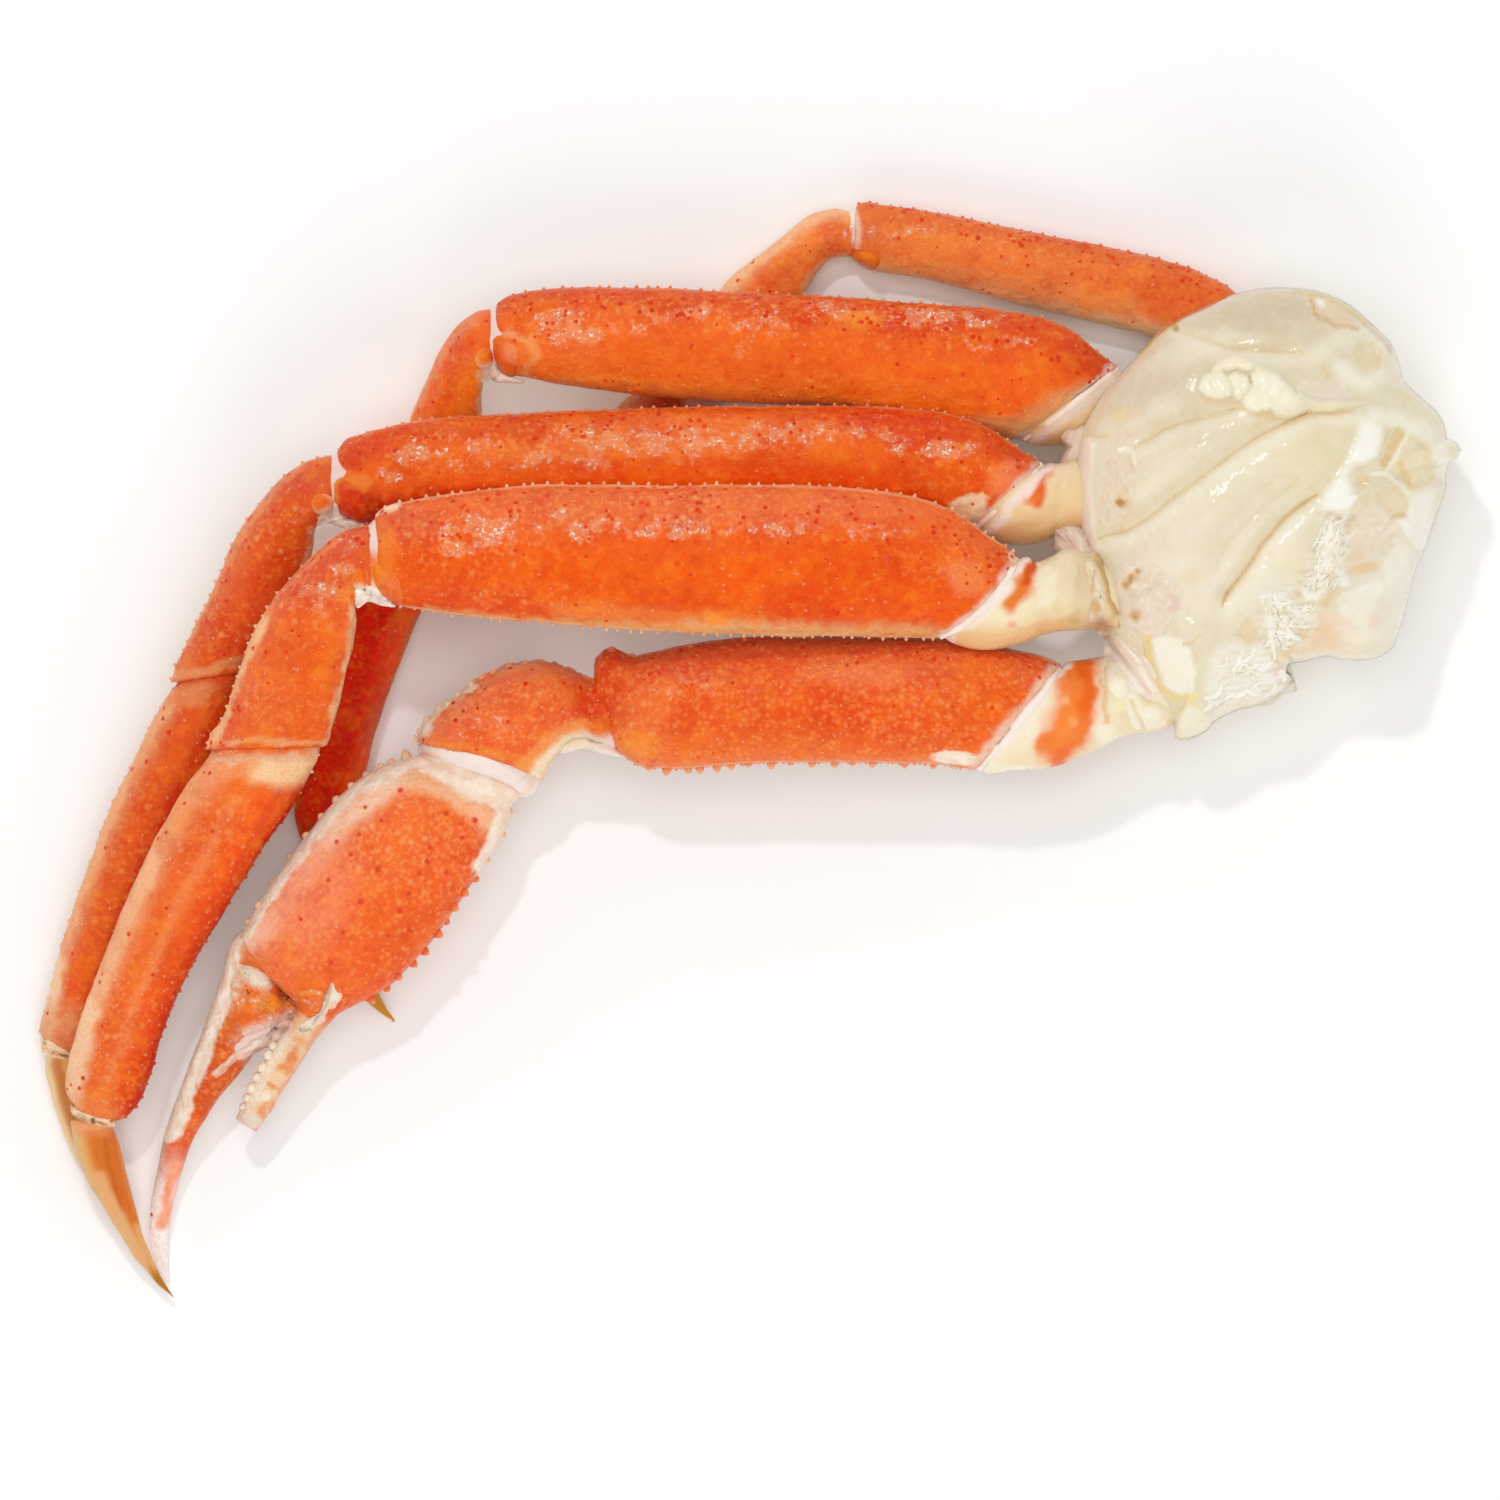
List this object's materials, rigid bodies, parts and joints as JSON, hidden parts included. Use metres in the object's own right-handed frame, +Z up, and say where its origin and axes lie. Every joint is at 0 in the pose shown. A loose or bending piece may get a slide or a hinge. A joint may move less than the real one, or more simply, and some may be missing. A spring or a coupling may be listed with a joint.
{
  "type": "snow crab cluster",
  "caption": "Cooked snow crab cluster: a half-body shoulder with its clawed arm and slender walking legs folded over one another.",
  "frame": {"origin": "on the table plane, at the centre of the footprint's bounding box", "axes": "+Z up; +X towards the shoulder, the claw arm lies on the -Y side; seen from above as in the picture with +Y at the picture's top"},
  "size_m": [0.232, 0.1798, 0.0394],
  "materials": {
    "orange_shell": "glossy wet shell, bright orange",
    "deep_orange_shell": "glossy wet shell, deep red orange",
    "cream_shell": "semi-gloss shell, cream with orange patches",
    "body_shell": "semi-gloss thin shell, cream",
    "joint_skin": "wet soft skin, pale pinkish cream",
    "meat": "moist meat, off-white to beige",
    "golden_tip": "glossy horn, golden tan"
  },
  "bodies": {
    "root": {"claw_base": "cream_shell", "claw_merus": "orange_shell", "claw_carpus": "orange_shell", "claw_palm": "orange_shell", "claw_finger": "orange_shell", "leg1_base": "cream_shell", "leg1_merus": "orange_shell", "leg1_carpus": "orange_shell", "leg1_propodus": "orange_shell", "leg1_dactyl": "golden_tip", "leg2_base": "cream_shell", "leg2_merus": "orange_shell", "leg2_carpus": "orange_shell", "leg2_propodus": "deep_orange_shell", "leg2_dactyl": "golden_tip", "leg3_base": "cream_shell", "leg3_merus": "orange_shell", "leg3_carpus": "orange_shell", "leg3_propodus": "deep_orange_shell", "leg3_dactyl": "golden_tip", "leg4_base": "cream_shell", "leg4_merus": "orange_shell", "leg4_carpus": "orange_shell", "leg4_propodus": "deep_orange_shell", "leg4_dactyl": "golden_tip", "claw_knee_skin": "joint_skin", "claw_wrist_skin": "joint_skin", "leg1_knee_skin": "joint_skin", "leg1_wrist_skin": "joint_skin", "leg2_knee_skin": "joint_skin", "leg2_wrist_skin": "joint_skin", "leg3_knee_skin": "joint_skin", "leg4_knee_skin": "joint_skin", "shoulder_shell": "body_shell", "shoulder_meat": "meat"}
  },
  "joints": []
}
